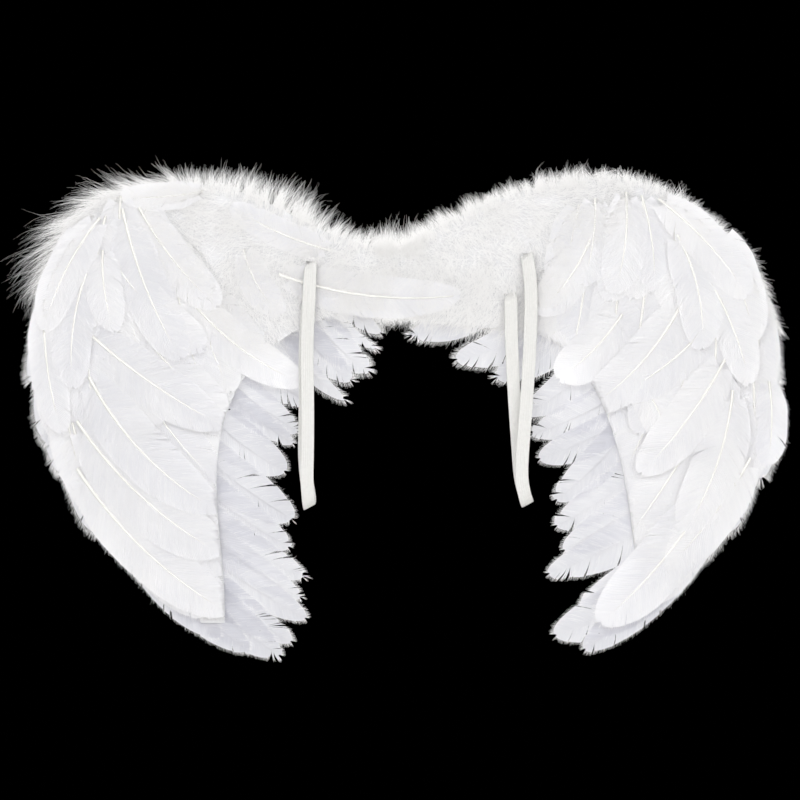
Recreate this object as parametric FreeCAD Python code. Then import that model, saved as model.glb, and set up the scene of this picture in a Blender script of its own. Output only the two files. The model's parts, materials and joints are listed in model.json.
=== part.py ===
import FreeCAD, Part
import math
import os
import random

from FreeCAD import Vector

# Costume wings: two feathered cards that meet at a fold in the neck, worn by two elastic loops.
# The wings hang upright. +X is the right wing, +Z is up, and the wearer's back is on the -Y side.
# The origin is at the middle of the neck, on the face of the card that lies on the wearer's back.

CARD = 2.0  # thickness of the card
FOLD_GAP = 0.1  # from the fold's plane to the edge of each half
LAYER = 0.6  # height that one glued feather adds
APART = 0.4  # side by side gap between feathers of one layer
STRAY = 5.0  # how far the roots and tips of a tract stray from their lines
DOWN_LAYERS = 3  # height of a patch of down, in feather layers
DOWN_FRONT = 4.5  # how far the edge down stands in front of the card's front face
DOWN_BACK = 8.0  # how far it reaches behind that face

BAND_WIDTH = 10.0  # flat braided elastic
BAND_THICK = 1.0
SLIT = (11.0, 1.8)  # slit in the card, width and height
KNOT_RADIUS = 6.5
KNOT_HEIGHT = 5.4
KNOT_ROUND = 2.0
ARC_SHARE = 0.45  # share of a run that the arc at its end takes
HINGE_GAP = 0.1  # half the gap between a loop and its tails

# A feather's half outline: distance along the shaft and half width, as shares of length and width.
VANE = ((0.0, 0.10), (0.28, 0.41), (0.62, 0.50), (0.90, 0.34), (1.0, 0.0))

# Lines are lists of (x, z). A tract of feathers is laid between a line of roots and a line of tips:
# name, face, number of feathers, first and last width, roots, tips. Where single feathers show, a
# tract lists them one by one instead: name, face, and (root, tip, width) of each, in the order laid.
LEFT = {
    "name": "left",
    "board": {
        "top": [(0, 27), (-57, 39), (-127, 71), (-190, 75), (-240, 58), (-272, 8), (-281, -47),
                (-268, -125), (-225, -197), (-181, -232), (-154, -264)],
        "inner": [(-136, -264), (-139, -204), (-142, -144), (-129, -88), (-100, -51), (-65, -30),
                  (0, -24)],
    },
    "edge_down": [(-12, 34), (-30, 50), (-52, 68), (-88, 83), (-150, 93), (-215, 85), (-276, 62),
                  (-299, 30), (-301, 0), (-290, -24), (-262, -24), (-200, 50), (-100, 30), (-12, 15)],
    "front_down": [(-14, 22), (-60, 32), (-128, 62), (-190, 68), (-196, 40), (-170, 5), (-146, -24),
                   (-120, -54), (-94, -58), (-60, -36), (-14, -22)],
    "rear_down": [(-14, 22), (-60, 32), (-110, 54), (-110, 15), (-95, -38), (-60, -22), (-14, -19)],
    "slits": {"upper": (-69, 15.5), "lower": (-71.5, -14)},
    "seed": 5,
    "tracts": [
        ("flight_feathers", "front", 7, 36, 34,
         [(-205, -30), (-232, -85), (-238, -135), (-222, -180)],
         [(-145, -110), (-147, -175), (-145, -218), (-152, -252)]),
        ("edge_feathers", "front", 8, 28, 28,
         [(-258, 18), (-264, -45), (-252, -105), (-224, -158)],
         [(-276, -72), (-260, -138), (-224, -193), (-168, -242)]),
        ("middle_feathers", "front", 7, 30, 34,
         [(-146, -14), (-170, -5), (-208, 8), (-240, -10)],
         [(-112, -54), (-148, -82), (-188, -94), (-236, -106)]),
        ("shoulder_feathers", "front", 5, 28, 28,
         [(-196, 58), (-218, 60), (-248, 38)],
         [(-178, -8), (-212, -14), (-264, -42)]),
    ],
    "single": [
        ("large_feathers", "front",
         [((-248, -147), (-141, -248), 38), ((-248, -110), (-146, -203), 38),
          ((-239, -76), (-147, -170), 36), ((-165, -10), (-80, -74), 28),
          ((-199, -44), (-140, -97), 32), ((-240, -40), (-144, -106), 36),
          ((-275, -16), (-262, -110), 24), ((-215, 7), (-156, -48), 32),
          ((-243, 5), (-252, -76), 28), ((-232, 23), (-221, -34), 24),
          ((-201, 56), (-145, -14), 30), ((-214, 54), (-172, -52), 32),
          ((-233, 48), (-272, -32), 28), ((-123, 23), (-94, -22), 24),
          ((-154, 70), (-212, 67), 18), ((-55, 25), (-126, 57), 20)]),
        ("flight_feathers", "rear",
         [((-220, -172), (-140, -275), 28), ((-214, -178), (-118, -286), 32),
          ((-212, -184), (-93, -290), 34), ((-206, -176), (-84, -279), 30),
          ((-200, -166), (-73, -261), 34), ((-196, -152), (-77, -245), 26),
          ((-192, -146), (-74, -229), 28), ((-184, -128), (-86, -206), 28)]),
        ("inner_feathers", "rear",
         [((-178, -112), (-83, -184), 34), ((-172, -76), (-89, -147), 34), ((-150, -70), (-83, -125), 18),
          ((-164, -46), (-79, -116), 28), ((-152, -20), (-72, -93), 32), ((-122, -4), (-72, -70), 30)]),
        ("neck_feathers", "rear",
         [((-88, -30), (-44, -90), 14), ((-86, -14), (-39, -75), 24),
          ((-78, -8), (-25, -68), 30), ((-66, 0), (-20, -50), 12), ((-58, 5), (-16, -38), 15)]),
    ],
    "behind": [
        ("edge_feathers", "rear", 9, 30, 30,
         [(-244, -2), (-262, -50), (-246, -108), (-218, -158)],
         [(-283, -80), (-266, -142), (-230, -203), (-174, -250)]),
        ("covert_feathers", "rear", 9, 32, 34,
         [(-105, 35), (-160, 30), (-215, 10), (-238, -60)],
         [(-90, -40), (-135, -65), (-190, -85), (-212, -150)]),
        ("shoulder_feathers", "rear", 9, 26, 28,
         [(-95, 40), (-150, 64), (-205, 62), (-250, 25)],
         [(-85, -8), (-125, 0), (-195, -8), (-262, -48)]),
    ],
    "band": [(-69, 2, 15.5), (-69, -9, 15.5), (-70, -11.5, -8), (-72, -13, -50), (-71, -18, -95),
             (-71, -25, -132), (-71.5, -28, -152), (-70.5, -28.5, -164), (-70, -24.7, -171.5),
             (-69.5, -18.5, -174), (-69.5, -12.3, -171.5), (-70, -9.6, -164), (-72.5, -10, -152),
             (-74, -10.5, -130), (-73, -10.5, -90), (-73.5, -10, -52), (-72, -9.6, -32),
             (-71.5, -8.8, -14), (-71.5, 2, -14)],
    "swing_height": -22.0,
}

RIGHT = {
    "name": "right",
    "board": {
        "top": [(0, 27), (59, 57), (119, 77), (187, 77), (239, 51), (277, 6), (295, -56),
                (285, -117), (259, -179), (225, -221), (199, -246)],
        "inner": [(187, -250), (182, -209), (167, -123), (147, -76), (119, -46), (62, -35), (0, -24)],
    },
    "edge_down": [(12, 48), (38, 66), (66, 82), (104, 89), (150, 92), (205, 85), (240, 67),
                  (275, 28), (293, -4), (298, -28), (266, -28), (200, 50), (100, 40), (12, 15)],
    "front_down": [(14, 24), (59, 50), (112, 72), (170, 74), (176, 56), (138, 28), (130, -10),
                   (124, -50), (62, -38), (14, -22)],
    "rear_down": [(14, 24), (59, 48), (102, 62), (112, 30), (104, -35), (62, -28), (14, -20)],
    "slits": {"upper": (98, 21.5), "lower": (85.5, -9)},
    "seed": 8,
    "tracts": [
        ("flight_feathers", "front", 7, 36, 34,
         [(200, -35), (230, -85), (245, -140), (240, -180)],
         [(162, -108), (180, -165), (190, -210), (196, -240)]),
        ("edge_feathers", "front", 8, 28, 28,
         [(262, 12), (275, -48), (264, -115), (243, -158)],
         [(287, -72), (272, -138), (238, -200), (203, -236)]),
        ("middle_feathers", "front", 7, 30, 34,
         [(136, 18), (170, 12), (212, 5), (248, -15)],
         [(118, -42), (150, -74), (190, -92), (240, -108)]),
        ("shoulder_feathers", "front", 7, 28, 28,
         [(140, 60), (175, 66), (210, 62), (244, 36)],
         [(128, 2), (158, -6), (206, -14), (268, -42)]),
    ],
    "single": [
        ("large_feathers", "front",
         [((236, -168), (160, -257), 40), ((270, -138), (212, -214), 34),
          ((257, -86), (222, -186), 34), ((181, -66), (206, -122), 28),
          ((250, -62), (190, -142), 34), ((286, -78), (284, -138), 22),
          ((237, -34), (172, -84), 32), ((217, -18), (150, -92), 34),
          ((169, -24), (126, -72), 30), ((241, -2), (268, -74), 28),
          ((215, 35), (232, -46), 30), ((201, 63), (264, -6), 30), ((190, 66), (196, -2), 28),
          ((175, 66), (166, -4), 28), ((144, 33), (108, -20), 28)]),
        ("flight_feathers", "rear",
         [((238, -184), (172, -268), 26), ((238, -190), (143, -285), 32),
          ((232, -200), (120, -274), 38), ((228, -186), (141, -249), 22),
          ((222, -165), (115, -226), 32)]),
        ("inner_feathers", "rear",
         [((214, -144), (127, -208), 26), ((206, -122), (121, -189), 28), ((196, -88), (121, -169), 28),
          ((190, -96), (108, -137), 26), ((186, -76), (102, -118), 28)]),
        ("neck_feathers", "rear",
         [((166, -42), (96, -101), 30), ((140, -20), (76, -73), 30), ((118, -26), (45, -59), 25),
          ((78, -6), (10, -40), 24)]),
    ],
    "behind": [
        ("edge_feathers", "rear", 9, 30, 28,
         [(256, -2), (272, -52), (262, -115), (237, -163)],
         [(293, -80), (283, -148), (247, -206), (194, -249)]),
        ("covert_feathers", "rear", 9, 32, 34,
         [(120, 38), (170, 30), (225, 8), (250, -60)],
         [(100, -36), (145, -65), (200, -85), (228, -150)]),
        ("shoulder_feathers", "rear", 9, 26, 28,
         [(112, 48), (160, 66), (205, 62), (252, 25)],
         [(95, -6), (140, 0), (200, -8), (266, -48)]),
    ],
    "band": [(98, 2, 21.5), (98, -9, 21.5), (101.5, -11.5, -4), (100.5, -13, -46), (97.5, -18, -92),
             (94, -25, -130), (93, -28, -150), (95, -28.5, -162), (97, -24.7, -169.5),
             (98.5, -18.5, -172), (98, -12.3, -169.5), (95.5, -9.6, -162), (92.5, -10, -150),
             (91, -10.5, -128), (88, -10.5, -86), (86, -10, -46), (85.8, -9.6, -26),
             (85.5, -8.8, -9), (85.5, 2, -9)],
    "swing_height": -17.0,
}

# The large feather across the fold is glued at its root on the left wing.
NECK_FEATHER = {"root": (-91, 5), "tip": (37, -9), "width": 30.0}


def at(x, z, y=0.0):
    """A point of the wings' own plane, y behind the card's front face."""
    return Vector(x, y, z)


def curve(line):
    """One smooth edge through the points of a line."""
    spline = Part.BSplineCurve()
    spline.interpolate([at(x, z) for x, z in line])
    return spline.toShape()


def straight(start, end):
    return Part.LineSegment(at(*start), at(*end)).toShape()


def slab(face, low, high):
    """The solid over a flat footprint, from y = low to y = high."""
    moved = face.translated(Vector(0, low, 0))
    return moved.extrude(Vector(0, high - low, 0))


def polygon(points):
    return Part.Face(Part.makePolygon([at(x, z) for x, z in points] + [at(*points[0])]))


def patch(line):
    """A footprint with one smooth closed outline."""
    spline = Part.BSplineCurve()
    spline.interpolate([at(x, z) for x, z in line], PeriodicFlag=True)
    return Part.Face(Part.Wire(spline.toShape()))


def board_footprint(board, side):
    """The crescent card, cut off a little short of the fold."""
    top, inner = board["top"], board["inner"]
    wire = Part.Wire([curve(top), straight(top[-1], inner[0]), curve(inner), straight(inner[-1], top[0])])
    reach = 400.0 * side
    clear = FOLD_GAP * side
    own_side = polygon([(clear, -reach), (clear, reach), (reach, reach), (reach, -reach)])
    return Part.Face(wire).common(own_side)


def slit_footprint(place):
    x, z = place
    width, height = SLIT
    return polygon([(x - width / 2, z - height / 2), (x + width / 2, z - height / 2),
                    (x + width / 2, z + height / 2), (x - width / 2, z + height / 2)])


def disc(place, radius):
    circle = Part.Circle(at(*place), Vector(0, 1, 0), radius)
    return Part.Face(Part.Wire(circle.toShape()))


def along(line, share):
    """The point at a share of the way along a line, counted by its points."""
    place = share * (len(line) - 1)
    index = min(int(place), len(line) - 2)
    rest = place - index
    (x0, z0), (x1, z1) = line[index], line[index + 1]
    return x0 + rest * (x1 - x0), z0 + rest * (z1 - z0)


def feather(root, tip, width):
    """The flat footprint of one feather."""
    length = math.dist(root, tip)
    ax, az = (tip[0] - root[0]) / length, (tip[1] - root[1]) / length

    def place(share, half):
        return (root[0] + share * length * ax - half * width * az,
                root[1] + share * length * az + half * width * ax)

    one_edge = [place(share, half) for share, half in VANE]
    other_edge = [place(share, -half) for share, half in reversed(VANE[:-1])]
    return polygon(one_edge + other_edge)


def tract_footprints(rng, count, width_first, width_last, roots, tips):
    """Feathers side by side from the first roots and tips to the last, each a little out of line."""

    def strayed(line, share):
        x, z = along(line, share)
        return x + rng.uniform(-STRAY, STRAY), z + rng.uniform(-STRAY, STRAY)

    for i in range(count):
        share = i / (count - 1)
        width = width_first + share * (width_last - width_first)
        yield feather(strayed(roots, share), strayed(tips, share), width)


def clear_of(one, other):
    if not one.BoundBox.intersect(other.BoundBox):
        return True
    return one.distToShape(other)[0] > APART


class Layers:
    """One face of a card. What is glued on lies on the lowest layers that are free under it."""

    def __init__(self, surface, outward):
        self.surface = surface
        self.outward = outward
        self.filled = []

    def is_free(self, level, footprint):
        if level >= len(self.filled):
            return True
        return all(clear_of(footprint, other) for other in self.filled[level])

    def fill(self, footprint, level, height):
        while len(self.filled) < level + height:
            self.filled.append([])
        for taken in range(level, level + height):
            self.filled[taken].append(footprint)

    def lay(self, footprint, height=1):
        level = len(self.filled)
        while level > 0 and self.is_free(level - 1, footprint):
            level -= 1
        self.fill(footprint, level, height)
        low = self.surface + self.outward * level * LAYER
        high = low + self.outward * height * LAYER
        return slab(footprint, min(low, high), max(low, high))


def arc_route(points):
    """A wire of straight runs joined by tangent arcs, with the arcs' radii."""
    edges, radii = [], []
    start = points[0]
    for before, corner, after in zip(points, points[1:], points[2:]):
        back, ahead = before - corner, after - corner
        shorter = min(back.Length, ahead.Length)
        turn = math.pi - back.getAngle(ahead)
        radius = ARC_SHARE * shorter / math.tan(turn / 2)
        setback = ARC_SHARE * shorter
        entry = corner + back.normalize() * setback
        leave = corner + ahead.normalize() * setback
        bisector = (back + ahead).normalize()
        middle = corner + bisector * (radius / math.cos(turn / 2) - radius)
        edges.append(Part.LineSegment(start, entry).toShape())
        edges.append(Part.Arc(entry, middle, leave).toShape())
        radii.append(radius)
        start = leave
    edges.append(Part.LineSegment(start, points[-1]).toShape())
    return Part.Wire(edges), radii


def band_solid(points, label):
    """The flat elastic, swept along its route with its width kept along X."""
    route, radii = arc_route([Vector(*point) for point in points])
    x, y, z = points[0]
    wide, thick = BAND_WIDTH / 2, BAND_THICK / 2
    corners = [Vector(x - wide, y, z - thick), Vector(x + wide, y, z - thick),
               Vector(x + wide, y, z + thick), Vector(x - wide, y, z + thick)]
    section = Part.makePolygon(corners + corners[:1])
    pipe = Part.BRepOffsetAPI.MakePipeShell(route)
    pipe.setBiNormalMode(Vector(1, 0, 0))
    pipe.add(section)
    pipe.build()
    pipe.makeSolid()
    solid = pipe.shape()
    print(f"{label}: length {route.Length:.1f} mm, tightest arc {min(radii):.1f} mm, arcs "
          + " ".join(f"{radius:.0f}" for radius in radii))
    print(f"{label}: volume {solid.Volume:.0f} mm3, section x length "
          f"{BAND_WIDTH * BAND_THICK * route.Length:.0f} mm3")
    return solid


def split_band(solid, height):
    """The tails above the swing axis, which stay with the wing, and the loop below it."""
    reach = 600.0
    below = Part.makeBox(2 * reach, 2 * reach, reach, Vector(-reach, -reach, height - HINGE_GAP - reach))
    above = Part.makeBox(2 * reach, 2 * reach, reach, Vector(-reach, -reach, height + HINGE_GAP))
    return solid.common(above), solid.common(below)


def knot(place):
    x, z = place
    puck = Part.makeCylinder(KNOT_RADIUS, KNOT_HEIGHT, at(x, z, CARD), Vector(0, 1, 0))
    rim = [edge for edge in puck.Edges if abs(edge.CenterOfMass.y - CARD - KNOT_HEIGHT) < 0.01
           and len(edge.Vertexes) == 1]
    return puck.makeFillet(KNOT_ROUND, rim)


def save(name, solids):
    shape = solids[0] if len(solids) == 1 else Part.makeCompound(solids)
    shape.exportStep(f"parts/{name}.step")


def glued_faces(wing, footprint):
    """Both faces of a card: its patches of down, then its tracts in the order they are glued."""
    slits = wing["slits"].values()
    front_holes = [disc(place, SLIT[0] / 2 + 2.0) for place in slits]
    knots = [disc(place, KNOT_RADIUS + APART) for place in slits]
    front = Layers(0.0, -1)
    rear = Layers(CARD, 1)
    for blocked in knots:
        rear.fill(blocked, 0, math.ceil(KNOT_HEIGHT / LAYER))
    front_down = patch(wing["front_down"]).common(footprint).cut(Part.makeCompound(front_holes))
    rear_down = patch(wing["rear_down"]).common(footprint).cut(Part.makeCompound(knots))
    nodes = {"front_down": [front.lay(front_down, DOWN_LAYERS)]}
    rear.fill(rear_down, 0, DOWN_LAYERS)
    nodes["rear_down"] = [slab(rear_down, CARD, CARD + DOWN_LAYERS * LAYER)]
    rng = random.Random(wing["seed"])
    tracts = [(name, face, list(tract_footprints(rng, *tract))) for name, face, *tract in wing["tracts"]]
    tracts += [(name, face, [feather(*one) for one in listed]) for name, face, listed in wing["single"]]
    tracts += [(name, face, list(tract_footprints(rng, *tract))) for name, face, *tract in wing["behind"]]
    for name, face, feathers in tracts:
        layers = front if face == "front" else rear
        laid = []
        for one in feathers:
            covers_slit = face == "front" and not all(clear_of(one, hole) for hole in front_holes)
            if not covers_slit:
                laid.append(layers.lay(one))
        nodes[f"{face}_{name}"] = laid
    print(f"{wing['name']}: layers in front {len(front.filled)}, behind {len(rear.filled)}, "
          f"feathers {sum(len(feathers) for _, _, feathers in tracts)}")
    return nodes, front


def make_wing(wing, side):
    footprint = board_footprint(wing["board"], side)
    holes = Part.makeCompound([slab(slit_footprint(place), -1, CARD + 1) for place in wing["slits"].values()])
    nodes, front = glued_faces(wing, footprint)
    nodes["board"] = [slab(footprint, 0, CARD).cut(holes)]
    edge = patch(wing["edge_down"]).cut(footprint)
    widest = max(edge.Faces, key=lambda face: face.Area)
    nodes["edge_down"] = [slab(widest, -DOWN_FRONT, DOWN_BACK)]
    band = band_solid(wing["band"], f"{wing['name']} loop")
    tails, loop = split_band(band, wing["swing_height"])
    nodes["loop"] = [loop]
    nodes["loop_tails"] = tails.Solids
    nodes["loop_knots"] = [knot(place) for place in wing["slits"].values()]
    for name, solids in nodes.items():
        save(f"{wing['name']}_{name}", solids)
    return front


os.makedirs("parts", exist_ok=True)
left_front = make_wing(LEFT, -1)
make_wing(RIGHT, 1)
neck_footprint = feather(NECK_FEATHER["root"], NECK_FEATHER["tip"], NECK_FEATHER["width"])
save("neck_feather", [left_front.lay(neck_footprint)])
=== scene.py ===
import json
import math
import random

import bpy
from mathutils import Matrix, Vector
from mathutils.bvhtree import BVHTree

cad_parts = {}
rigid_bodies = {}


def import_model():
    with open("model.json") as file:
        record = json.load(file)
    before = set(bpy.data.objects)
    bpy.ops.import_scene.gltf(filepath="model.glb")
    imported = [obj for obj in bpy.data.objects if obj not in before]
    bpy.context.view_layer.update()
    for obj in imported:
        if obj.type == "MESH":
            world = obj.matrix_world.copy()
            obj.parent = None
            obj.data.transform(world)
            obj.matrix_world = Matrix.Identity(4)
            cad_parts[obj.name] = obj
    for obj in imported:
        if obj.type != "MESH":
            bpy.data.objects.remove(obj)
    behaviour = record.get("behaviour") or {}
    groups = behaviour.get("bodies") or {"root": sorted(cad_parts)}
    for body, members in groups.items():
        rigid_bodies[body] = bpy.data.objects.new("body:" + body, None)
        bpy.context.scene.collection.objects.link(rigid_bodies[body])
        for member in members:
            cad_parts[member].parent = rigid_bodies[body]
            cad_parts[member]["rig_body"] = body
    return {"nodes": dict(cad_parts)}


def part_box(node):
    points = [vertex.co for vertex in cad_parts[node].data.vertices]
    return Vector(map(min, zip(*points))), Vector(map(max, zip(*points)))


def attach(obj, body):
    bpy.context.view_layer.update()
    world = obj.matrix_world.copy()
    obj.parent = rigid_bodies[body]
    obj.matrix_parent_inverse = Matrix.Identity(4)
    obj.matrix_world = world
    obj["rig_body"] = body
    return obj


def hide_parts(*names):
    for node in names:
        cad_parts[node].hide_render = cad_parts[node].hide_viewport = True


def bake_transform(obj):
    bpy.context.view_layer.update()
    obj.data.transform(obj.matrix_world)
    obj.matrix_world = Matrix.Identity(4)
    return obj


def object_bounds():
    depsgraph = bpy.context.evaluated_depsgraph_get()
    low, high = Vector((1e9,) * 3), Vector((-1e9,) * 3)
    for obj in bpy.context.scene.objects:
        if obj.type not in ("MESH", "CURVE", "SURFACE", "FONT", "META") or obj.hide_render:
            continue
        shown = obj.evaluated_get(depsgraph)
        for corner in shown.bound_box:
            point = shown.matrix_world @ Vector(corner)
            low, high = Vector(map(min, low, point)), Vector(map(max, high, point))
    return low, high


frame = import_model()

# Feathered costume wings, worn on the back by two elastic loops. Metres, +Z up, the wearer at -Y.

CAD_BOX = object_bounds()
LOW, HIGH = Vector(CAD_BOX[0]), Vector(CAD_BOX[1])
WIDTH = HIGH.x - LOW.x
HEIGHT = HIGH.z - LOW.z
MM = 0.001

FRONT = Vector((0, -1, 0))
REAR = Vector((0, 1, 0))
UP = Vector((0, 0, 1))


# ---------------------------------------------------------------- camera, lights and floor

CAMERA_DISTANCE = 2.5
SENSOR = 36.0  # mm
VIEW_WIDTH = 1.032 * WIDTH  # what the square picture spans at the wings
VIEW_CENTRE = Vector((0, 0, LOW.z + 0.519 * HEIGHT))
FLOOR_HALF = 1.5
FLOOR_DROP = 0.5  # the wings hang this far above the floor
LIGHTS = [  # name, place, width and height, watts
    ("key", (-1.1, -2.0, 0.9), (1.7, 1.7), 24),
    ("fill", (1.3, -2.0, 0.5), (1.7, 1.7), 21.5),
    ("front", (0.0, -2.9, 0.3), (1.6, 1.6), 35),
    ("low_fill", (0.0, -1.8, -0.9), (1.4, 0.7), 10),
    ("top", (0.0, 0.1, 1.5), (1.4, 0.8), 14),
    ("side_left", (-2.2, -0.1, 0.3), (1.0, 1.2), 7),
    ("side_right", (2.2, -0.1, 0.3), (1.0, 1.2), 7),
    ("back_left", (-1.2, 1.7, 0.7), (1.1, 1.1), 24),
    ("back_right", (1.4, 1.6, 0.5), (1.1, 1.1), 18),
]


def add_camera():
    data = bpy.data.cameras.new("camera")
    data.sensor_width = SENSOR
    data.lens = SENSOR * CAMERA_DISTANCE / VIEW_WIDTH
    camera = bpy.data.objects.new("camera", data)
    camera.location = VIEW_CENTRE + FRONT * CAMERA_DISTANCE
    camera.rotation_euler = (math.pi / 2, 0, 0)
    bpy.context.scene.collection.objects.link(camera)
    bpy.context.scene.camera = camera


def add_light(name, place, size, watts):
    data = bpy.data.lights.new(name, "AREA")
    data.shape = "RECTANGLE"
    data.size, data.size_y = size
    data.energy = watts
    light = bpy.data.objects.new(name, data)
    light.location = place
    light.rotation_euler = (VIEW_CENTRE - Vector(place)).to_track_quat("-Z", "Y").to_euler()
    bpy.context.scene.collection.objects.link(light)


def add_lights():
    for name, place, size, watts in LIGHTS:
        add_light(name, place, size, watts)
    world = bpy.data.worlds.new("studio")
    world.use_nodes = True
    world.node_tree.nodes["Background"].inputs["Color"].default_value = (0.0, 0.0, 0.0, 1)
    bpy.context.scene.world = world
    bpy.context.scene.view_settings.view_transform = "Standard"


def add_floor():
    level = LOW.z - FLOOR_DROP
    corners = [(x * FLOOR_HALF, y * FLOOR_HALF, level) for x, y in ((-1, -1), (1, -1), (1, 1), (-1, 1))]
    mesh = bpy.data.meshes.new("floor")
    mesh.from_pydata(corners, [], [(0, 1, 2, 3)])
    floor = bpy.data.objects.new("floor", mesh)
    mesh.materials.append(floor_material())
    bpy.context.scene.collection.objects.link(floor)


# ---------------------------------------------------------------- materials

# Each surface drifts between two colours. Thin ones also let a share of the light through.
QUILL_COLOURS = (0.77, 0.757, 0.722), (0.84, 0.827, 0.80)
# The card's grey is darker than its own white: painted shade, so that bare card between the down looks as
# dim as the shaded down.
CARD_PAINTED_SHADE_COLOURS = (0.67, 0.67, 0.68), (0.73, 0.73, 0.74)
ELASTIC_COLOURS = (0.63, 0.625, 0.605), (0.73, 0.725, 0.705)
FLOOR_COLOURS = (0.70, 0.69, 0.67), (0.74, 0.73, 0.71)
FRONT_VANE = (0.84, 0.84, 0.875), (0.98, 0.975, 0.98), 0.34
# The rear vane's colours are darker than the front vane's, though the feathers are the same white: painted
# shade for the rear tips, which lie in fewer layers.
REAR_VANE_PAINTED_SHADE = (0.60, 0.605, 0.665), (0.88, 0.88, 0.905), 0.54
DOWN_BARBS = (0.885, 0.88, 0.875), (0.98, 0.975, 0.97), 0.5
LOOSE_BARBS = (0.88, 0.88, 0.90), (1.0, 0.995, 0.99), 0.45
BARB_LINES = 0.4  # scale of the ribs over the barbs' map, whose unit is one step between barbs
THREAD_LINES = 0.3
STREAKS = (0.12, 0.55, 1)  # scale of a vane's pale streaks over the same map
PATCHES = 28  # scale of the slow drift in tone over all the vanes
TONE_RANGE = (0.75, 1.5)  # what the summed tones are spread from, so that both colours are reached


class Nodes:
    """A material's node tree, with short calls to add and join nodes."""

    def __init__(self, name):
        self.material = bpy.data.materials.new(name)
        self.material.use_nodes = True
        self.tree = self.material.node_tree
        self.shader = self.tree.nodes["Principled BSDF"]
        self.output = self.tree.nodes["Material Output"]

    def add(self, kind, **values):
        node = self.tree.nodes.new(kind)
        for key, value in values.items():
            socket = node.inputs.get(key)
            if socket is None:
                setattr(node, key, value)
            else:
                socket.default_value = value
        return node

    def join(self, source, target):
        self.tree.links.new(source, target)

    def ramp(self, factor, low, high):
        mix = self.add("ShaderNodeMix", data_type="RGBA")
        mix.inputs[6].default_value = (*low, 1)
        mix.inputs[7].default_value = (*high, 1)
        self.join(factor, mix.inputs[0])
        return mix.outputs[2]

    def noise(self, scale, detail=3.0):
        node = self.add("ShaderNodeTexNoise", Scale=scale, Detail=detail, Roughness=0.5)
        self.join(self.add("ShaderNodeTexCoord").outputs["Object"], node.inputs["Vector"])
        return node.outputs["Fac"]

    def weighted(self, value, weight, added):
        """value times weight, and added."""
        node = self.add("ShaderNodeMath", operation="MULTIPLY_ADD")
        self.join(value, node.inputs[0])
        node.inputs[1].default_value = weight
        self.join(added, node.inputs[2])
        return node.outputs[0]

    def bump(self, height, strength, distance):
        node = self.add("ShaderNodeBump", Strength=strength, Distance=distance)
        self.join(height, node.inputs["Height"])
        self.join(node.outputs["Normal"], self.shader.inputs["Normal"])

    def through(self, share, colour):
        """Lets a share of the light pass through a thin surface."""
        thin = self.add("ShaderNodeBsdfTranslucent", Color=(*colour, 1))
        mix = self.add("ShaderNodeMixShader", Fac=share)
        self.join(self.shader.outputs[0], mix.inputs[1])
        self.join(thin.outputs[0], mix.inputs[2])
        self.join(mix.outputs[0], self.output.inputs["Surface"])


def vane_material(name, shade, tint, thin):
    """A feather's vane: fine barbs across it, and a cool white that drifts a little along it."""
    m = Nodes(name)
    tone = m.add("ShaderNodeAttribute", attribute_name="tone").outputs["Fac"]
    barbs = m.add("ShaderNodeUVMap", uv_map="barbs").outputs["UV"]
    stretch = m.add("ShaderNodeMapping")
    stretch.inputs["Scale"].default_value = STREAKS
    m.join(barbs, stretch.inputs["Vector"])
    streaks = m.add("ShaderNodeTexNoise", Scale=1.0, Detail=4.0, Roughness=0.6)
    m.join(stretch.outputs["Vector"], streaks.inputs["Vector"])
    by_feather = m.weighted(tone, 0.4, streaks.outputs["Fac"])
    by_patch = m.weighted(m.noise(PATCHES), 0.8, by_feather)
    spread = m.add("ShaderNodeMapRange")
    spread.inputs["From Min"].default_value = TONE_RANGE[0]
    spread.inputs["From Max"].default_value = TONE_RANGE[1]
    m.join(by_patch, spread.inputs["Value"])
    m.join(m.ramp(spread.outputs["Result"], shade, tint), m.shader.inputs["Base Color"])
    m.shader.inputs["Roughness"].default_value = 0.6
    m.shader.inputs["Sheen Weight"].default_value = 0.12
    ribs = m.add("ShaderNodeTexWave", Scale=BARB_LINES, Distortion=1.6, Detail=2.0, bands_direction="Y")
    m.join(barbs, ribs.inputs["Vector"])
    m.bump(ribs.outputs["Fac"], 0.5, 0.3 * MM)
    m.through(thin, tint)
    return m.material


def shaft_material():
    m = Nodes("quill")
    m.join(m.ramp(m.noise(160), *QUILL_COLOURS), m.shader.inputs["Base Color"])
    m.shader.inputs["Roughness"].default_value = 0.35
    m.bump(m.noise(900), 0.2, 0.1 * MM)
    return m.material


def down_material(name, shade, tint, thin):
    """Fine loose barbs, which glow as light comes through them."""
    m = Nodes(name)
    tone = m.add("ShaderNodeAttribute", attribute_name="tone").outputs["Fac"]
    m.join(m.ramp(tone, shade, tint), m.shader.inputs["Base Color"])
    m.shader.inputs["Roughness"].default_value = 0.9
    m.shader.inputs["Sheen Weight"].default_value = 0.3
    m.through(thin, tint)
    return m.material


def card_material():
    m = Nodes("card")
    # painted shade: the card's colour is a grey darker than its own white
    m.join(m.ramp(m.noise(260, 5), *CARD_PAINTED_SHADE_COLOURS), m.shader.inputs["Base Color"])
    m.shader.inputs["Roughness"].default_value = 0.8
    m.bump(m.noise(1400, 4), 0.25, 0.1 * MM)
    return m.material


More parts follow.
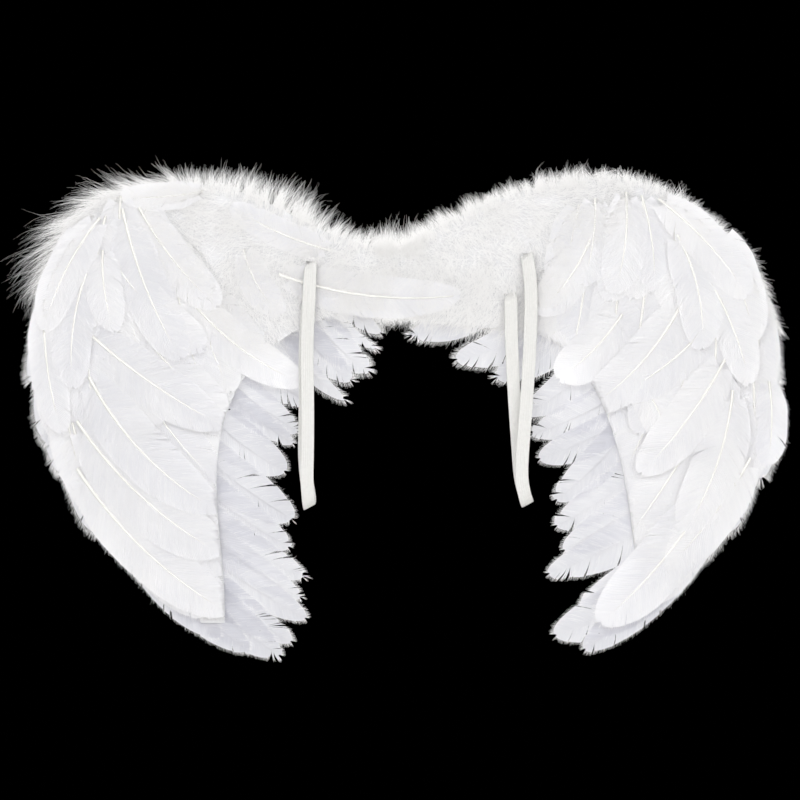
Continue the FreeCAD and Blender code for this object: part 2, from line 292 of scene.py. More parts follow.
def elastic_material():
    """Braided elastic: short cross threads between the lengthwise ribs."""
    m = Nodes("elastic")
    m.join(m.ramp(m.noise(500, 4), *ELASTIC_COLOURS), m.shader.inputs["Base Color"])
    m.shader.inputs["Roughness"].default_value = 0.75
    m.shader.inputs["Sheen Weight"].default_value = 0.2
    threads = m.add("ShaderNodeTexWave", Scale=THREAD_LINES, Distortion=0.6, bands_direction="Y")
    m.join(m.add("ShaderNodeUVMap", uv_map="barbs").outputs["UV"], threads.inputs["Vector"])
    m.bump(threads.outputs["Fac"], 0.4, 0.15 * MM)
    return m.material


def floor_material():
    m = Nodes("floor")
    m.join(m.ramp(m.noise(3), *FLOOR_COLOURS), m.shader.inputs["Base Color"])
    m.shader.inputs["Roughness"].default_value = 0.85
    return m.material


# ---------------------------------------------------------------- gathering faces

class Surface:
    """Strips of faces gathered into one mesh, with a tone for each point and a map of the barbs."""

    def __init__(self):
        self.points, self.tones, self.faces, self.slots, self.map = [], [], [], [], []

    def strip(self, rows, tone, slot, u=0.0, v=0.0, closed=False):
        """Faces between rows of points, which all have the same number. A closed row is a ring."""
        start = len(self.points)
        wide = len(rows[0])
        for row in rows:
            self.points.extend(row)
        self.tones.extend([tone] * (len(rows) * wide))
        across = wide if closed else wide - 1
        for i in range(len(rows) - 1):
            for j in range(across):
                k = (j + 1) % wide
                a, b = start + i * wide, start + (i + 1) * wide
                self.faces.append((a + j, a + k, b + k, b + j))
                self.slots.append(slot)
                low, high = v + i, v + i + 1
                self.map.append([(u + j, low), (u + j + 1, low), (u + j + 1, high), (u + j, high)])

    def cut(self, first_point, first_face, trimmed):
        """Cuts what was added since first_point and first_face. trimmed gives a point's place on the
        line that it lies beyond, or None."""
        beyond = set()
        for index in range(first_point, len(self.points)):
            spot = trimmed(self.points[index])
            if spot is not None:
                self.points[index] = spot
                beyond.add(index)
        kept = [i for i in range(first_face, len(self.faces)) if not beyond.issuperset(self.faces[i])]
        for column in (self.faces, self.slots, self.map):
            column[first_face:] = [column[i] for i in kept]

    def make(self, name, materials):
        mesh = bpy.data.meshes.new(name)
        mesh.from_pydata([tuple(p) for p in self.points], [], self.faces)
        mesh.attributes.new("tone", "FLOAT", "POINT").data.foreach_set("value", self.tones)
        layer = mesh.uv_layers.new(name="barbs")
        layer.data.foreach_set("uv", [x for corners in self.map for pair in corners for x in pair])
        for material in materials:
            mesh.materials.append(material)
        mesh.polygons.foreach_set("material_index", self.slots)
        mesh.polygons.foreach_set("use_smooth", [True] * len(self.faces))
        mesh.update()
        piece = bpy.data.objects.new(name, mesh)
        bpy.context.scene.collection.objects.link(piece)
        return piece


# ---------------------------------------------------------------- what the CAD plates say

END_REACH = 0.02  # share of a plate's length in which its end's points lie: a root has two of them
CORNER_REACH = 0.08  # share of its length in which a root's corners lie


def plates(node):
    """The root, tip, width and height above the card of every feather plate in a CAD node."""
    mesh = frame["nodes"][node].data
    where = [tuple(round(c, 6) for c in v.co) for v in mesh.vertices]
    group = {p: p for p in where}

    def top(p):
        while group[p] != p:
            p = group[p]
        return p

    for face in mesh.polygons:
        first = top(where[face.vertices[0]])
        for index in face.vertices[1:]:
            group[top(where[index])] = first
    islands = {}
    for p in sorted(group):
        islands.setdefault(top(p), []).append(Vector(p))
    return [plate_facts(island) for island in islands.values()]


def plate_facts(island):
    flat = [Vector((p.x, 0, p.z)) for p in island]
    _, one, other = max(((a - b).length, tuple(a), tuple(b)) for a in flat for b in flat)
    one, other = Vector(one), Vector(other)
    axis = (other - one).normalized()
    near_one = {tuple(p) for p in flat if (p - one).dot(axis) < END_REACH * (other - one).length}
    root_end, tip = (one, other) if len(near_one) == 2 else (other, one)
    corners = [p for p in flat if (p - root_end).length < CORNER_REACH * (other - one).length]
    root = sum(corners, Vector()) / len(corners)
    side = Vector((-axis.z, 0, axis.x))
    across = [p.dot(side) for p in flat]
    y = sum(p.y for p in island) / len(island)
    return {"root": root, "tip": tip, "width": max(across) - min(across), "y": y}


# ---------------------------------------------------------------- feathers

BARB_STEP = 1.5 * MM  # from one modelled barb to the next along the vane's edge
BARB_POINTS = 6
SHAFT_STEPS = 16
SHAFT_RING = 8
BARE_SHAFT = 0.05  # share of the length that is bare quill
QUILL_BASE = 1.3 * MM  # a quill's thickness at its root is this and a share of the feather's length
QUILL_GROWTH = 0.0105
QUILL_TAPER = 0.70  # share of the thickness that is gone at the tip
QUILL_SINKS = 0.5 * MM  # how much deeper in the vane the quill lies at its tip
RIPPLE = 0.45 * MM  # height of the slow waves along a vane's edge
RISE_KEPT = 0.85  # how much of one barb's rise at its end the next barb keeps
RISE_STEP = 0.13 * MM
SPLIT_RISE = 0.3 * MM
SPLIT_REACH = 3.5  # barbs over which a split's push dies away
DOWNY_SHARE = 0.26  # share of the length that has soft barbs at its foot
STRAY_ABOVE = 0.45 * MM
STRAY_PAST = 2.5 * MM  # how far a stray barb may pass the vane's edge
FRINGE_WIDTH = 0.24 * MM
STRAY_WIDTH = 0.22 * MM


class Feather:
    """One feather between its root and tip, bent a little in its own plane and lifted off the card."""

    def __init__(self, facts, outward, rng, style):
        self.rng = rng
        self.style = style
        self.out = outward
        self.root = facts["root"] + REAR * facts["y"]
        self.along = (facts["tip"] - facts["root"]).normalized()
        self.side = Vector((-self.along.z, 0, self.along.x))
        self.length = (facts["tip"] - facts["root"]).length * style["stretch"]
        self.half = 0.5 * facts["width"] * style["spread"] * rng.uniform(0.95, 1.08)
        away = Vector((math.copysign(1.0, self.root.x), 0, -1))
        sag = math.copysign(style["sag"], self.side.dot(away))
        self.bend = self.length * (sag + rng.uniform(-0.02, 0.02))
        self.lift = style["lift"] * rng.uniform(0.5, 1.4)
        self.cup = style["cup"] * rng.uniform(0.6, 1.3)
        self.roll = rng.uniform(-0.03, 0.03)
        self.blunt = style["blunt"] * rng.uniform(0.85, 1.2)
        self.shoulder = style["shoulder"] * rng.uniform(0.9, 1.1)
        self.wave = rng.uniform(1.2, 2.6)
        self.phase = rng.uniform(0, 2 * math.pi)
        self.tone = rng.uniform(0.1, 1.0)
        self.start = rng.uniform(0, 500)

    def spine(self, share):
        arch = 4.0 * share * (1.0 - share)
        return (self.root + self.along * (self.length * share) + self.side * (self.bend * arch)
                + self.out * (self.lift * share ** 2))

    def half_width(self, end):
        """Half the vane's width where a barb ends."""
        foot = math.sin(0.5 * math.pi * min(1.0, end / 0.32))
        close = max(0.0, (end - self.shoulder) / (1.0 - self.shoulder))
        return self.half * (0.50 + 0.50 * foot) * math.sqrt(max(0.0, 1.0 - close ** self.blunt))

    def place(self, share, reach):
        """A point of the vane: share of the length, and reach to the side in metres."""
        edge = reach / self.half
        ripple = math.sin(2 * math.pi * self.wave * share + self.phase) * RIPPLE
        rise = self.roll * reach + ripple * abs(edge) - self.cup * edge ** 2
        return self.spine(share) + self.side * reach + self.out * rise

    def barb(self, end, hand, pushed, rise):
        """One barb, from the shaft to its end on the vane's outline."""
        reach = self.half_width(end)
        start = max(BARE_SHAFT, end - (0.55 + 0.55 * end) * reach / self.length)
        points = []
        for step in range(BARB_POINTS + 1):
            part = step / BARB_POINTS
            share = start + (end - start) * (0.7 * part + 0.3 * part * part)
            share += pushed * part ** self.style["deep"]
            points.append(self.place(share, hand * reach * part) + self.out * (rise * part))
        return points

    def ends(self):
        """Where the barbs end, closer together as the tip rounds off."""
        count = max(10, round(self.length / BARB_STEP))
        for i in range(count + 1):
            share = i / count
            if share > self.shoulder:
                over = (share - self.shoulder) / (1.0 - self.shoulder)
                share = self.shoulder + (1.0 - self.shoulder) * math.sin(0.5 * math.pi * over)
            yield min(0.999, share)

    def vane(self, surface, slot, fringe_slot):
        """Both sides of the vane, each a sheet of barbs that parts at its splits."""
        ends = list(self.ends())
        for hand in (-1, 1):
            splits = self.splits(len(ends))
            group, rise = [], 0.0
            for i, end in enumerate(ends):
                if i in splits:
                    group.append(self.barb(end, hand, self.pushed(i - 0.5, splits), rise))
                    self.sheet(surface, group, slot, fringe_slot, i)
                    group, rise = [], self.rng.uniform(-SPLIT_RISE, SPLIT_RISE)
                rise = RISE_KEPT * rise + self.rng.gauss(0, RISE_STEP)
                group.append(self.barb(end, hand, self.pushed(i + 0.5, splits), rise))
            self.sheet(surface, group, slot, fringe_slot, len(ends))

    def splits(self, count):
        """Where the barbs part, and how far apart they stand at the edge."""
        wanted = self.style["splits"] * self.rng.uniform(0.2, 1.8) * self.length / (100 * MM)
        return {self.rng.randrange(4, count - 1): self.style["gap"] * self.rng.uniform(0.2, 1.3)
                for _ in range(round(wanted))}

    def pushed(self, place, splits):
        """How far the splits near it push a barb's end along the feather, as a share of the length."""
        return sum(math.copysign(0.5 * gap * math.exp(-abs(place - at) / SPLIT_REACH), place - at)
                   for at, gap in splits.items()) / self.length

    def sheet(self, surface, group, slot, fringe_slot, at):
        tone = min(1.0, max(0.0, self.tone + self.rng.uniform(-0.2, 0.2)))
        surface.strip(group, tone, slot, v=self.start + at)
        length = self.style["fringe"]
        for row in group:
            heading = (row[-1] - row[-2]).normalized()
            for _ in range(self.style["strands"]):
                start = row[-2].lerp(row[-1], self.rng.uniform(0.4, 1.0))
                ahead = heading + self.along * self.rng.uniform(-0.1, 0.5)
                strand(surface, start, ahead, self.out, length * self.rng.uniform(0.3, 1.2), self.rng,
                       fringe_slot, width=FRINGE_WIDTH, steps=2, curl=0.25)

    def shaft(self, surface, slot):
        rows = []
        thickest = QUILL_BASE + QUILL_GROWTH * self.length
        for step in range(SHAFT_STEPS + 1):
            share = -0.02 + 0.98 * step / SHAFT_STEPS
            thick = (1.0 - QUILL_TAPER * max(0.0, share)) * thickest
            centre = self.spine(share) + self.out * (self.style["quill"] - QUILL_SINKS * share)
            rows.append([centre + (self.side * math.cos(a) * 0.5 + self.out * math.sin(a) * 0.34) * thick
                         for a in (2 * math.pi * k / SHAFT_RING for k in range(SHAFT_RING))])
        surface.strip(rows, 0.5, slot, closed=True)

    def loose_barbs(self, surface, slot):
        """The soft barbs at the foot of the vane."""
        for _ in range(self.style["loose"]):
            share = self.rng.uniform(0.0, DOWNY_SHARE)
            hand = self.rng.choice((-1, 1))
            heading = (self.side * hand * self.rng.uniform(0.4, 1.1)
                       + self.along * self.rng.uniform(0.1, 1.0)
                       + self.out * self.rng.uniform(0.0, 0.15))
            length = self.rng.uniform(6, 18) * MM
            strand(surface, self.spine(share), heading, self.out, length, self.rng, slot)

    def stray_barbs(self, surface, slot):
        """Single barbs that have worked loose and lie over the vane, some past its edge."""
        area = 2 * self.half * self.length / (MM * MM)
        for _ in range(round(self.style["stray"] * area)):
            hand = self.rng.choice((-1, 1))
            barb = self.barb(self.rng.uniform(0.12, 0.97), hand, 0.0, 0.0)
            first = self.rng.randrange(1, BARB_POINTS)
            ahead = (barb[first + 1 if first < BARB_POINTS - 1 else first] - barb[first - 1]).normalized()
            heading = ahead + self.along * self.rng.gauss(0.05, 0.14) + self.out * 0.03
            start = barb[first] + self.out * self.rng.uniform(-self.style["under"], STRAY_ABOVE)
            room = (barb[-1] - barb[first]).length + STRAY_PAST
            length = min(room, self.rng.uniform(7, 20) * MM)
            strand(surface, start, heading, self.out, length, self.rng, slot, width=STRAY_WIDTH, steps=3,
                   curl=0.16)


def strand(surface, start, heading, facing, length, rng, slot, width=0.26 * MM, steps=5, curl=0.45,
           towards=None):
    """One fine curved barb, a ribbon that narrows to its tip, which may bend towards a second heading."""
    direction = heading.normalized()
    bend = Vector((rng.gauss(0, curl), rng.gauss(0, 0.4 * curl), rng.gauss(0, curl))) / steps
    if towards is not None:
        bend += (towards.normalized() - direction) / steps
    twist = (facing + Vector((rng.gauss(0, 0.3), 0, rng.gauss(0, 0.3)))).normalized()
    spot = start.copy()
    rows = []
    for step in range(steps + 1):
        part = step / steps
        across = direction.cross(twist)
        if across.length < 0.1:
            across = direction.cross(UP)
        across = across.normalized() * width * (0.5 - 0.42 * part)
        rows.append([spot - across, spot + across])
        direction = (direction + bend * (0.4 + 1.4 * part)).normalized()
        spot = spot + direction * (length / steps)
    surface.strip(rows, rng.uniform(0.1, 1.0), slot)


def style(**changes):
    """How one tract's feathers look. Heights and lengths are in millimetres here, and in metres from
    here on."""
    values = dict(stretch=1.04, spread=1.08, sag=0.03, lift=0.8, cup=0.35, blunt=2.0, splits=3.0, gap=2.2,
                  deep=3.0, fringe=3.2, strands=3, loose=34, shoulder=0.6, stray=0.05, under=0.0, quill=0.1)
    values.update(changes)
    for key in ("lift", "cup", "gap", "fringe", "under", "quill"):
        values[key] *= MM
    return values


# stretch and spread scale the plate's length and width. lift, cup and sag bend the vane. blunt and
# shoulder round its tip. splits per 100 mm part it, each by a gap that runs in as deep says. fringe and
# strands are its frayed edge, loose its soft foot and stray its loose barbs, from under it and up.
STYLES = {
    ("front", "flight"): style(stretch=1.14),
    ("front", "large"): style(sag=0.055, stretch=1.08, spread=1.10),
    ("front", "neck"): style(sag=0.055, stretch=1.08, spread=1.10, lift=2.2, quill=1.3),
    ("front", "middle"): style(spread=1.2, stretch=1.2),
    ("front", "shoulder"): style(spread=1.18, stretch=1.06, loose=50),
    ("front", "edge"): style(spread=1.0, fringe=5.0, strands=5, splits=3),
    ("rear", "flight"): style(lift=0.7, sag=0.05, splits=4.5, gap=4.0, deep=2.2, stretch=1.0, spread=1.04,
                              shoulder=0.46, under=0.45, quill=0.9),
    ("rear", "inner"): style(lift=0.7, sag=0.04, splits=4.5, gap=4.0, deep=2.2, loose=40, stretch=1.0,
                             spread=1.04, shoulder=0.48, under=0.45, quill=0.9),
    ("rear", "neck"): style(lift=1.0, sag=-0.09, splits=8, gap=3.4, deep=2.0, fringe=5.0, strands=4,
                            loose=60, shoulder=0.4, stretch=1.02, blunt=1.6, under=0.45, quill=0.8),
    ("rear", "covert"): style(lift=1.6, spread=1.15, stray=0.03, quill=0.6),
    ("rear", "edge"): style(lift=1.2, spread=0.86, stretch=0.97, fringe=6.0, strands=7, splits=5, gap=2.5,
                            shoulder=0.5, stray=0.03, under=0.45, quill=0.9),
    ("rear", "shoulder"): style(lift=1.2, spread=1.15, stray=0.03, quill=0.6),
}
PRESSED = 0.2  # what is left of a vane's height where it is pressed onto the card's inner edge
LEFT_WHOLE = 7 * MM  # a front feather whose tip stands this far past the card isn't cut


class Card:
    """The outline of one wing's card, which the front feathers are cut to along its inner edge."""

    def __init__(self, side):
        board = frame["nodes"][f"{side}_board"]
        low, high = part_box(f"{side}_board")
        self.middle = 0.5 * (low.y + high.y)
        self.front = low.y
        self.inward = 1.0 if side == "left" else -1.0
        self.tree = BVHTree.FromPolygons([v.co for v in board.data.vertices],
                                         [p.vertices for p in board.data.polygons])

    def past(self, point):
        """How far outside the card's outline a point is, the nearest place on it, and the normal there."""
        flat = Vector((point.x, self.middle, point.z))
        spot, normal, _, gap = self.tree.find_nearest(flat)
        under, *_ = self.tree.ray_cast(flat + FRONT * 0.1, REAR)
        return (gap if under is None else 0.0), spot, normal

    def trimmed(self, point):
        """Where a point that stands past the card's inner edge goes, or None for any other point."""
        gap, spot, normal = self.past(point)
        towards_fold = normal.x * self.inward
        on_inner_edge = towards_fold > 0.5 or (normal.z < -0.3 and towards_fold > -0.2)
        if gap == 0.0 or not on_inner_edge:
            return None
        return Vector((spot.x, self.front + PRESSED * (point.y - self.front), spot.z))


def feather_piece(node, look, outward, materials, seed, card=None):
    """All feathers of one CAD node as one detailed piece."""
    rng = random.Random(seed)
    surface = Surface()
    for facts in sorted(plates(node), key=lambda f: (round(f["root"].x, 5), round(f["root"].z, 5))):
        first_point, first_face = len(surface.points), len(surface.faces)
        feather = Feather(facts, outward, rng, look)
        feather.vane(surface, 0, 2)
        feather.shaft(surface, 1)
        feather.loose_barbs(surface, 2)
        feather.stray_barbs(surface, 2)
        if card is not None and card.past(facts["tip"])[0] < LEFT_WHOLE:
            surface.cut(first_point, first_face, card.trimmed)
    piece = surface.make(node + "_vanes", materials)
    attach(piece, frame["nodes"][node]["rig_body"])
    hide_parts(node)


# ---------------------------------------------------------------- elastic loops

ELASTIC_WIDTH = 10 * MM
ELASTIC_THICK = 1.0 * MM
RIBS = 6
FOLD_SLANT = math.radians(28)  # how far the band turns out of level where it folds back up
RING_STEP = 0.8 * MM
BEAD = 0.018  # how much the band's edge swells between its threads
BEAD_RINGS = 3
KNOT_RADIUS = 2.6 * MM
KNOT_LOBES = 0.75  # how far the knot's three turns stand out
KNOT_RISE = 0.9 * MM  # how far the elastic passes over and under itself in the knot
KNOT_HALF_WIDE, KNOT_HALF_THICK = 1.5, 1.1  # the rolled elastic in the knot, in millimetres
KNOT_STEPS = 72
KNOT_RING = 8
ROUTES = {  # each band from its upper slit down and back up to its lower slit, in millimetres
    "left": [(-69, 2, 15.5), (-69, -9, 15.5), (-70, -11.5, -8), (-72, -13, -50), (-71, -18, -95),
             (-71, -25, -132), (-71.5, -28, -152), (-70.5, -28.5, -164), (-70, -24.7, -171.5),
             (-69.5, -18.5, -174), (-69.5, -12.3, -171.5), (-70, -9.6, -164), (-72.5, -10, -152),
             (-74, -10.5, -130), (-73, -10.5, -90), (-73.5, -10, -52), (-72, -9.6, -32),
             (-71.5, -8.8, -14), (-71.5, 2, -14)],
    "right": [(98, 2, 21.5), (98, -9, 21.5), (101.5, -11.5, -4), (100.5, -13, -46), (97.5, -18, -92),
              (94, -25, -130), (93, -28, -150), (95, -28.5, -162), (97, -24.7, -169.5),
              (98.5, -18.5, -172), (98, -12.3, -169.5), (95.5, -9.6, -162), (92.5, -10, -150),
              (91, -10.5, -128), (88, -10.5, -86), (86, -10, -46), (85.8, -9.6, -26),
              (85.5, -8.8, -9), (85.5, 2, -9)],
}


def smooth_line(points):
    """Points read from one NURBS line with these control points."""
    data = bpy.data.curves.new("line", "CURVE")
    data.dimensions = "3D"
    data.resolution_u = 24
    spline = data.splines.new("NURBS")
    spline.points.add(len(points) - 1)
    for control, point in zip(spline.points, points):
        control.co = (*point, 1)
    spline.order_u = 3
    spline.use_endpoint_u = True
    holder = bpy.data.objects.new("line", data)
    bpy.context.scene.collection.objects.link(holder)
    bpy.context.view_layer.update()
    mesh = bpy.data.meshes.new_from_object(holder)
    line = [v.co.copy() for v in mesh.vertices]
    bpy.data.objects.remove(holder)
    bpy.data.meshes.remove(mesh)
    return line


def even_steps(line, step):
    """The same line with its points a step apart, and its length."""
    lengths = [0.0]
    for a, b in zip(line, line[1:]):
        lengths.append(lengths[-1] + (b - a).length)
    count = max(2, round(lengths[-1] / step))
    result, index = [], 0
    for i in range(count + 1):
        target = lengths[-1] * i / count
        while index < len(line) - 2 and lengths[index + 1] < target:
            index += 1
        span = lengths[index + 1] - lengths[index]
        result.append(line[index].lerp(line[index + 1], (target - lengths[index]) / span))
    return result, lengths[-1]


def band_section():
    """Half outlines of the elastic: ribs on both faces, and a beaded edge each side."""
    count = 4 * RIBS
    face = []
    for i in range(count + 1):
        across = -0.5 + i / count
        rib = abs(math.sin(math.pi * RIBS * (across + 0.5)))
        edge = 1.0 - (2 * abs(across)) ** 8
        face.append((across, (0.30 + 0.20 * rib) * (0.35 + 0.65 * edge)))
    return face + [(across, -height) for across, height in reversed(face)]


def elastic_loop(side, material):
    route = [Vector(p) * MM for p in ROUTES[side]]
    line, length = even_steps(smooth_line(route), RING_STEP)
    section = band_section()
    surface = Surface()
    rows = []
    for i, centre in enumerate(line):
        ahead = line[min(i + 1, len(line) - 1)] - line[max(i - 1, 0)]
        wide = Vector((math.cos(FOLD_SLANT), 0, math.sin(FOLD_SLANT)))
        wide = (wide - ahead.normalized() * wide.dot(ahead.normalized())).normalized()
        normal = ahead.cross(wide).normalized()
        bead = 1.0 + BEAD * math.sin(2 * math.pi * i / BEAD_RINGS)
        rows.append([centre + wide * (across * ELASTIC_WIDTH * bead) + normal * (height * ELASTIC_THICK)
                     for across, height in section])
    surface.strip(rows, 0.5, 0, closed=True)
    piece = surface.make(f"{side}_elastic_loop", [material])
    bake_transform(piece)
    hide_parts(f"{side}_loop", f"{side}_loop_tails")
    knots = loop_knots(side, material)


def loop_knots(side, material):
    """The elastic's two ends, each tied in an overhand knot behind the card."""
    low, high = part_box(f"{side}_loop_knots")
    surface = Surface()
    for x, _, z in (ROUTES[side][0], ROUTES[side][-1]):
        centre = Vector((x * MM, (low.y + high.y) / 2, z * MM))
        rows = []
        for i in range(KNOT_STEPS + 1):
            t = 2 * math.pi * i / KNOT_STEPS
            spot = centre + Vector((KNOT_RADIUS * (math.sin(t) + KNOT_LOBES * math.sin(2 * t)),
                                    -KNOT_RISE * math.sin(3 * t),
                                    KNOT_RADIUS * (math.cos(t) - KNOT_LOBES * math.cos(2 * t))))
            out = (spot - centre).normalized()
            rows.append([spot + (out * math.cos(a) * KNOT_HALF_WIDE
                                 + REAR * math.sin(a) * KNOT_HALF_THICK) * MM
                         for a in (2 * math.pi * k / KNOT_RING for k in range(KNOT_RING))])
        surface.strip(rows, 0.5, 0, closed=True)
    piece = surface.make(f"{side}_elastic_knots", [material])
    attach(piece, f"{side}_wing")
    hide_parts(f"{side}_loop_knots")
    return piece


# ---------------------------------------------------------------- down

# How the edge down lies from the fold (0) to the far end of the strip (1): place, heading at the root
# and at the tip in degrees from +X towards +Z, longest barb in millimetres, and how thickly it stands.
EDGE_FLOW = {
    "left": [(0.00, 60, 40, 12, 0.8), (0.13, 75, 52, 25, 0.8), (0.30, 88, 66, 29, 0.8),
             (0.46, 98, 74, 27, 0.8), (0.50, 158, 176, 26, 0.8), (0.62, 172, 198, 34, 0.7),
             (0.76, 186, 226, 50, 0.55), (0.88, 200, 242, 54, 0.4), (1.00, 222, 262, 40, 0.3)],
    "right": [(0.00, 112, 138, 16, 0.9), (0.09, 109, 133, 12, 1.0), (0.16, 107, 129, 8, 1.0),
              (0.22, 104, 124, 11, 1.0), (0.28, 102, 120, 12, 1.0),
              (0.45, 98, 96, 8, 0.9), (0.60, 72, 46, 6, 0.8), (0.75, 44, 18, 5, 0.8),
              (0.88, 12, -14, 6, 0.8), (1.00, -30, -56, 7, 0.8)],
}
EDGE_TUFTS = 1150
EDGE_CLUMPS = 64  # plumes along the strip, each with its own lean and height
CLUMP_LEAN = 9  # degrees
CLUMP_HEIGHT = (0.70, 1.12)
TUFT_LEAN = 5  # degrees
TUFT_BARBS = 10
INNER_SHARE = 0.3  # share of the tufts that lie back over the feathers
INNER_BARBS = (8, 16)  # their barbs' lengths in millimetres
DOWN_TUFTS = 2000
DOWN_BARB_LENGTHS = (11, 22)  # millimetres
DOWN_ON_TOP = 0.2  # share of the down that lies over the feathers glued on the patch
CLEARANCE = (0.4, 2.4)  # how far down lies above what it covers, in millimetres
SLIT_TUFTS = 9
NECK_TUFTS = 60
# Down at the fold: the heights it starts between, how steeply it rises, and its longest barb, in mm.
NECK_ROWS = [(20, 28, 1.0, 26), (-24, 24, 0.1, 16), (-24, -18, -1.0, 15)]


class Ground:
    """What already lies on one face of a wing, so that down can lie on top of it."""

    def __init__(self, side, outward):
        face = "_front_" if outward == FRONT else "_rear_"
        points, faces = [], []
        for name, node in frame["nodes"].items():
            if name.startswith(side) and (face in name or name.endswith("board")):
                start = len(points)
                points += [v.co for v in node.data.vertices]
                faces += [[start + i for i in p.vertices] for p in node.data.polygons]
        self.tree = BVHTree.FromPolygons(points, faces)
        self.out = outward

    def over(self, point, clear):
        """The same point, moved outwards if it would be less than clear above what lies there."""
        spot, *_ = self.tree.ray_cast(point + self.out * 0.1, -self.out)
        if spot is None:
            return point
        needed = (spot - point).dot(self.out) + clear
        return point + self.out * max(0.0, needed)


def table_at(table, place):
    """The columns of a table at a place between its rows."""
    for before, after in zip(table, table[1:]):
        if place <= after[0]:
            share = max(0.0, (place - before[0]) / (after[0] - before[0]))
            return [a + (b - a) * share for a, b in zip(before[1:], after[1:])]
    return list(table[-1][1:])


def tuft(surface, start, heading, facing, length, rng, spread, ground=None, towards=None, width=0.26 * MM,
         scatter=1.0 * MM):
    """A plume of fine barbs from one spot. Its barbs share one heading and one bend."""
    lean = Vector((rng.gauss(0, 0.25), rng.gauss(0, 0.1), rng.gauss(0, 0.25)))
    tip_heading = (heading if towards is None else towards).normalized() + lean
    for _ in range(TUFT_BARBS):
        first_point = len(surface.points)
        wander = Vector((rng.gauss(0, spread), rng.gauss(0, 0.3 * spread), rng.gauss(0, spread)))
        beside = Vector((rng.gauss(0, 1), 0, rng.gauss(0, 1))) * scatter
        root = start + beside + REAR * rng.gauss(0, 0.4 * MM)
        own_length = length * rng.uniform(0.45, 1.05)
        strand(surface, root, heading.normalized() + wander, facing, own_length, rng, 0, width=width,
               curl=0.3, towards=tip_heading + wander * 0.5)
        if ground is not None:
            clear = rng.uniform(*CLEARANCE) * MM
            for index in range(first_point, len(surface.points)):
                surface.points[index] = ground.over(surface.points[index], clear)


def bearing(degrees):
    return Vector((math.cos(math.radians(degrees)), 0, math.sin(math.radians(degrees))))


def random_spot(mesh, faces, areas, rng):
    face = rng.choices(faces, areas)[0]
    corners = [mesh.vertices[i].co for i in face.vertices]
    a, b = rng.random(), rng.random()
    if a + b > 1:
        a, b = 1 - a, 1 - b
    return corners[0] + (corners[1] - corners[0]) * a + (corners[2] - corners[0]) * b


def edge_down_piece(side, card, grounds, material, seed):
    """Marabou along the top edge. It stands on the card's rim and lies the way the strip was laid."""
    node = f"{side}_edge_down"
    rng = random.Random(seed)
    mesh = frame["nodes"][node].data
    strip = BVHTree.FromPolygons([v.co for v in mesh.vertices], [p.vertices for p in mesh.polygons])
    low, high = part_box(node)
    centre = Vector((0.5 * (low.x + high.x), 0, low.z))
    walls = [f for f in mesh.polygons if abs(f.normal.y) < 0.5 and card.past(f.center)[0] < 1 * MM]
    areas = [f.area for f in walls]

    def turn(x, z):
        return math.atan2(z - centre.z, card.inward * (x - centre.x))

    turns = [turn(f.center.x, f.center.z) for f in walls]
    first, last = min(turns), max(turns)
    clumps = [(rng.gauss(0, CLUMP_LEAN), rng.uniform(*CLUMP_HEIGHT)) for _ in range(EDGE_CLUMPS + 1)]
    surface = Surface()
    for _ in range(EDGE_TUFTS):
        spot = random_spot(mesh, walls, areas, rng)
        place = (turn(spot.x, spot.z) - first) / (last - first)
        lean, height = clumps[int(place * EDGE_CLUMPS)]
        first_angle, last_angle, longest, thick = table_at(EDGE_FLOW[side], place)
        if rng.random() > thick:
            continue
        stray = lean + rng.gauss(0, TUFT_LEAN)
        heading, towards = bearing(first_angle + stray), bearing(last_angle + stray)
        _, outwards, _, _ = strip.find_nearest(spot)
        outwards = Vector((-outwards.x, 0, -outwards.z)).normalized()
        facing = FRONT if spot.y < card.middle else REAR
        if rng.random() < INNER_SHARE:
            start = spot - outwards * rng.uniform(0, 8) * MM
            tuft(surface, start, heading - outwards * rng.uniform(0.3, 1.4), facing,
                 rng.uniform(*INNER_BARBS) * MM, rng, 0.25, grounds[facing is REAR])
            continue
        start = spot - outwards * rng.uniform(1, 7) * MM
        middle = (heading + towards).normalized()
        hit, _, _, room = strip.ray_cast(spot + (outwards + middle) * 0.5 * MM, middle)
        reach = min(longest * MM, room + 2 * MM) if hit else longest * MM
        length = reach * height * rng.uniform(0.75, 1.08) + 4 * MM
        tuft(surface, start, heading, facing, length, rng, 0.14, towards=towards,
             width=(0.13 + 0.12 * thick) * MM)
    neck_down(surface, -card.inward, rng)
    piece = surface.make(node + "_plumes", [material])
    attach(piece, f"{side}_wing")
    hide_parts(node)


def neck_down(surface, hand, rng):
    """Down at the fold: it stands up from the neck, lies over its face and hangs below it."""
    for low, high, rise, longest in NECK_ROWS:
        for _ in range(NECK_TUFTS):
            spot = Vector((hand * rng.uniform(1, 17), -rng.uniform(0.3, 2.5), rng.uniform(low, high))) * MM
            heading = Vector((rng.gauss(0, 0.5), 0, rise + rng.gauss(0, 0.25)))
            tuft(surface, spot, heading, FRONT, rng.uniform(0.5, 1.0) * longest * MM, rng, 0.3,
                 scatter=2.5 * MM)


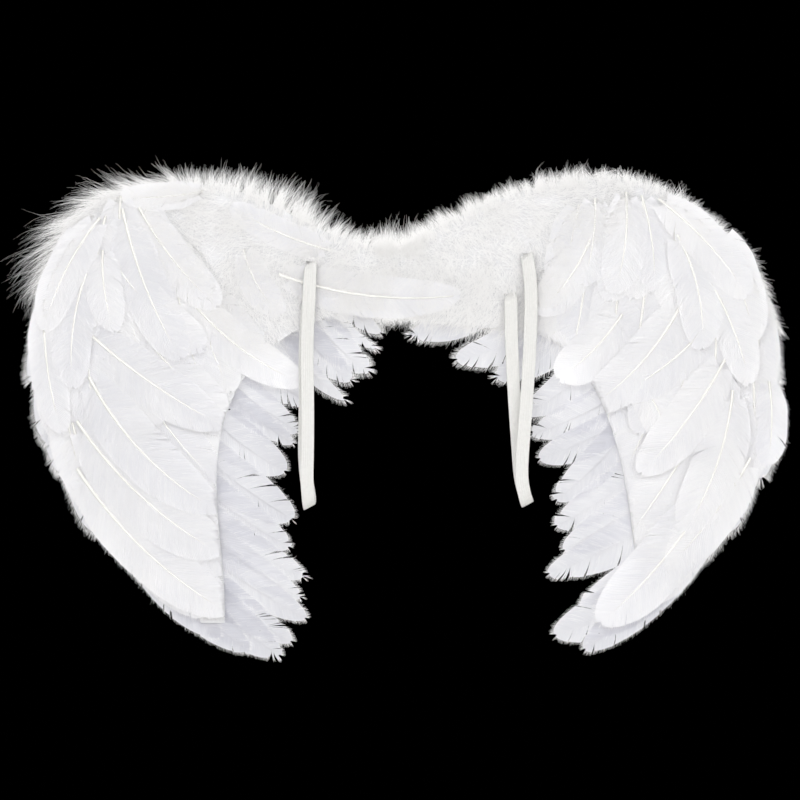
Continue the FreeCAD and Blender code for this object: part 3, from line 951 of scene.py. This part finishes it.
def down_patch(node, outward, ground, material, seed):
    """Soft down over a patch: its top is combed away from the fold, and its foot down and back to it."""
    rng = random.Random(seed)
    mesh = frame["nodes"][node].data
    top_faces = [f for f in mesh.polygons if f.normal.dot(outward) > 0.5]
    areas = [f.area for f in top_faces]
    low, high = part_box(node)
    hand = math.copysign(1.0, low.x + high.x)
    surface = Surface()
    for _ in range(DOWN_TUFTS):
        spot = random_spot(mesh, top_faces, areas, rng)
        if ground.over(spot, 0.0) != spot and rng.random() > DOWN_ON_TOP:
            continue
        height = (spot.z - low.z) / (high.z - low.z)
        sideways = hand * (1.7 * height - 0.7) + rng.gauss(0, 0.35)
        heading = Vector((sideways, 0, 1.1 * height - 0.9 + rng.gauss(0, 0.35))) + outward * 0.05
        tuft(surface, spot, heading, outward, rng.uniform(*DOWN_BARB_LENGTHS) * MM, rng, 0.22, ground,
             width=0.3 * MM, scatter=3.5 * MM)
    if outward == FRONT:
        over_elastic(surface, ROUTES["left" if hand < 0 else "right"], rng)
    piece = surface.make(node + "_barbs", [material])
    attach(piece, frame["nodes"][node]["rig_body"])
    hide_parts(node)


def over_elastic(surface, route, rng):
    """Down that hangs over the elastic where it comes out of its slits."""
    for x, _, z in (route[0], route[-1]):
        for _ in range(SLIT_TUFTS):
            spot = Vector((x + rng.uniform(-8, 8), -rng.uniform(6, 10.5), z + rng.uniform(2, 7))) * MM
            heading = Vector((rng.gauss(0, 0.6), -0.1, -1.0))
            tuft(surface, spot, heading, FRONT, rng.uniform(6, 11) * MM, rng, 0.35)


# ---------------------------------------------------------------- the whole object

def build():
    add_camera()
    elastic = elastic_material()
    for side in ("left", "right"):
        elastic_loop(side, elastic)
    vanes = {"front": vane_material("front_vane", *FRONT_VANE),
             # the rear vane carries painted shade: darker colours than the front vane's
             "rear": vane_material("rear_vane_painted_shade", *REAR_VANE_PAINTED_SHADE)}
    quill, card_paper = shaft_material(), card_material()
    down = down_material("down_barbs", *DOWN_BARBS)
    loose = down_material("loose_barbs", *LOOSE_BARBS)
    seed = 11
    for side in ("left", "right"):
        card = Card(side)
        grounds = [Ground(side, FRONT), Ground(side, REAR)]
        for node in sorted(n for n in frame["nodes"] if n.startswith(side)):
            seed += 1
            parts = node.split("_")
            outward = FRONT if parts[1] == "front" else REAR
            if parts[-1] == "feathers":
                cut_to = card if outward == FRONT and parts[2] != "edge" else None
                materials = [vanes[parts[1]], quill, loose]
                feather_piece(node, STYLES[parts[1], parts[2]], outward, materials, seed, cut_to)
            elif parts[1:] == ["edge", "down"]:
                edge_down_piece(side, card, grounds, down, seed)
            elif parts[-1] == "down":
                down_patch(node, outward, grounds[outward is REAR], down, seed)
            elif parts[-1] == "board":
                frame["nodes"][node].data.materials.clear()
                frame["nodes"][node].data.materials.append(card_paper)
    feather_piece("neck_feather", STYLES["front", "neck"], FRONT, [vanes["front"], quill, loose], seed)
    add_floor()
    add_lights()


build()
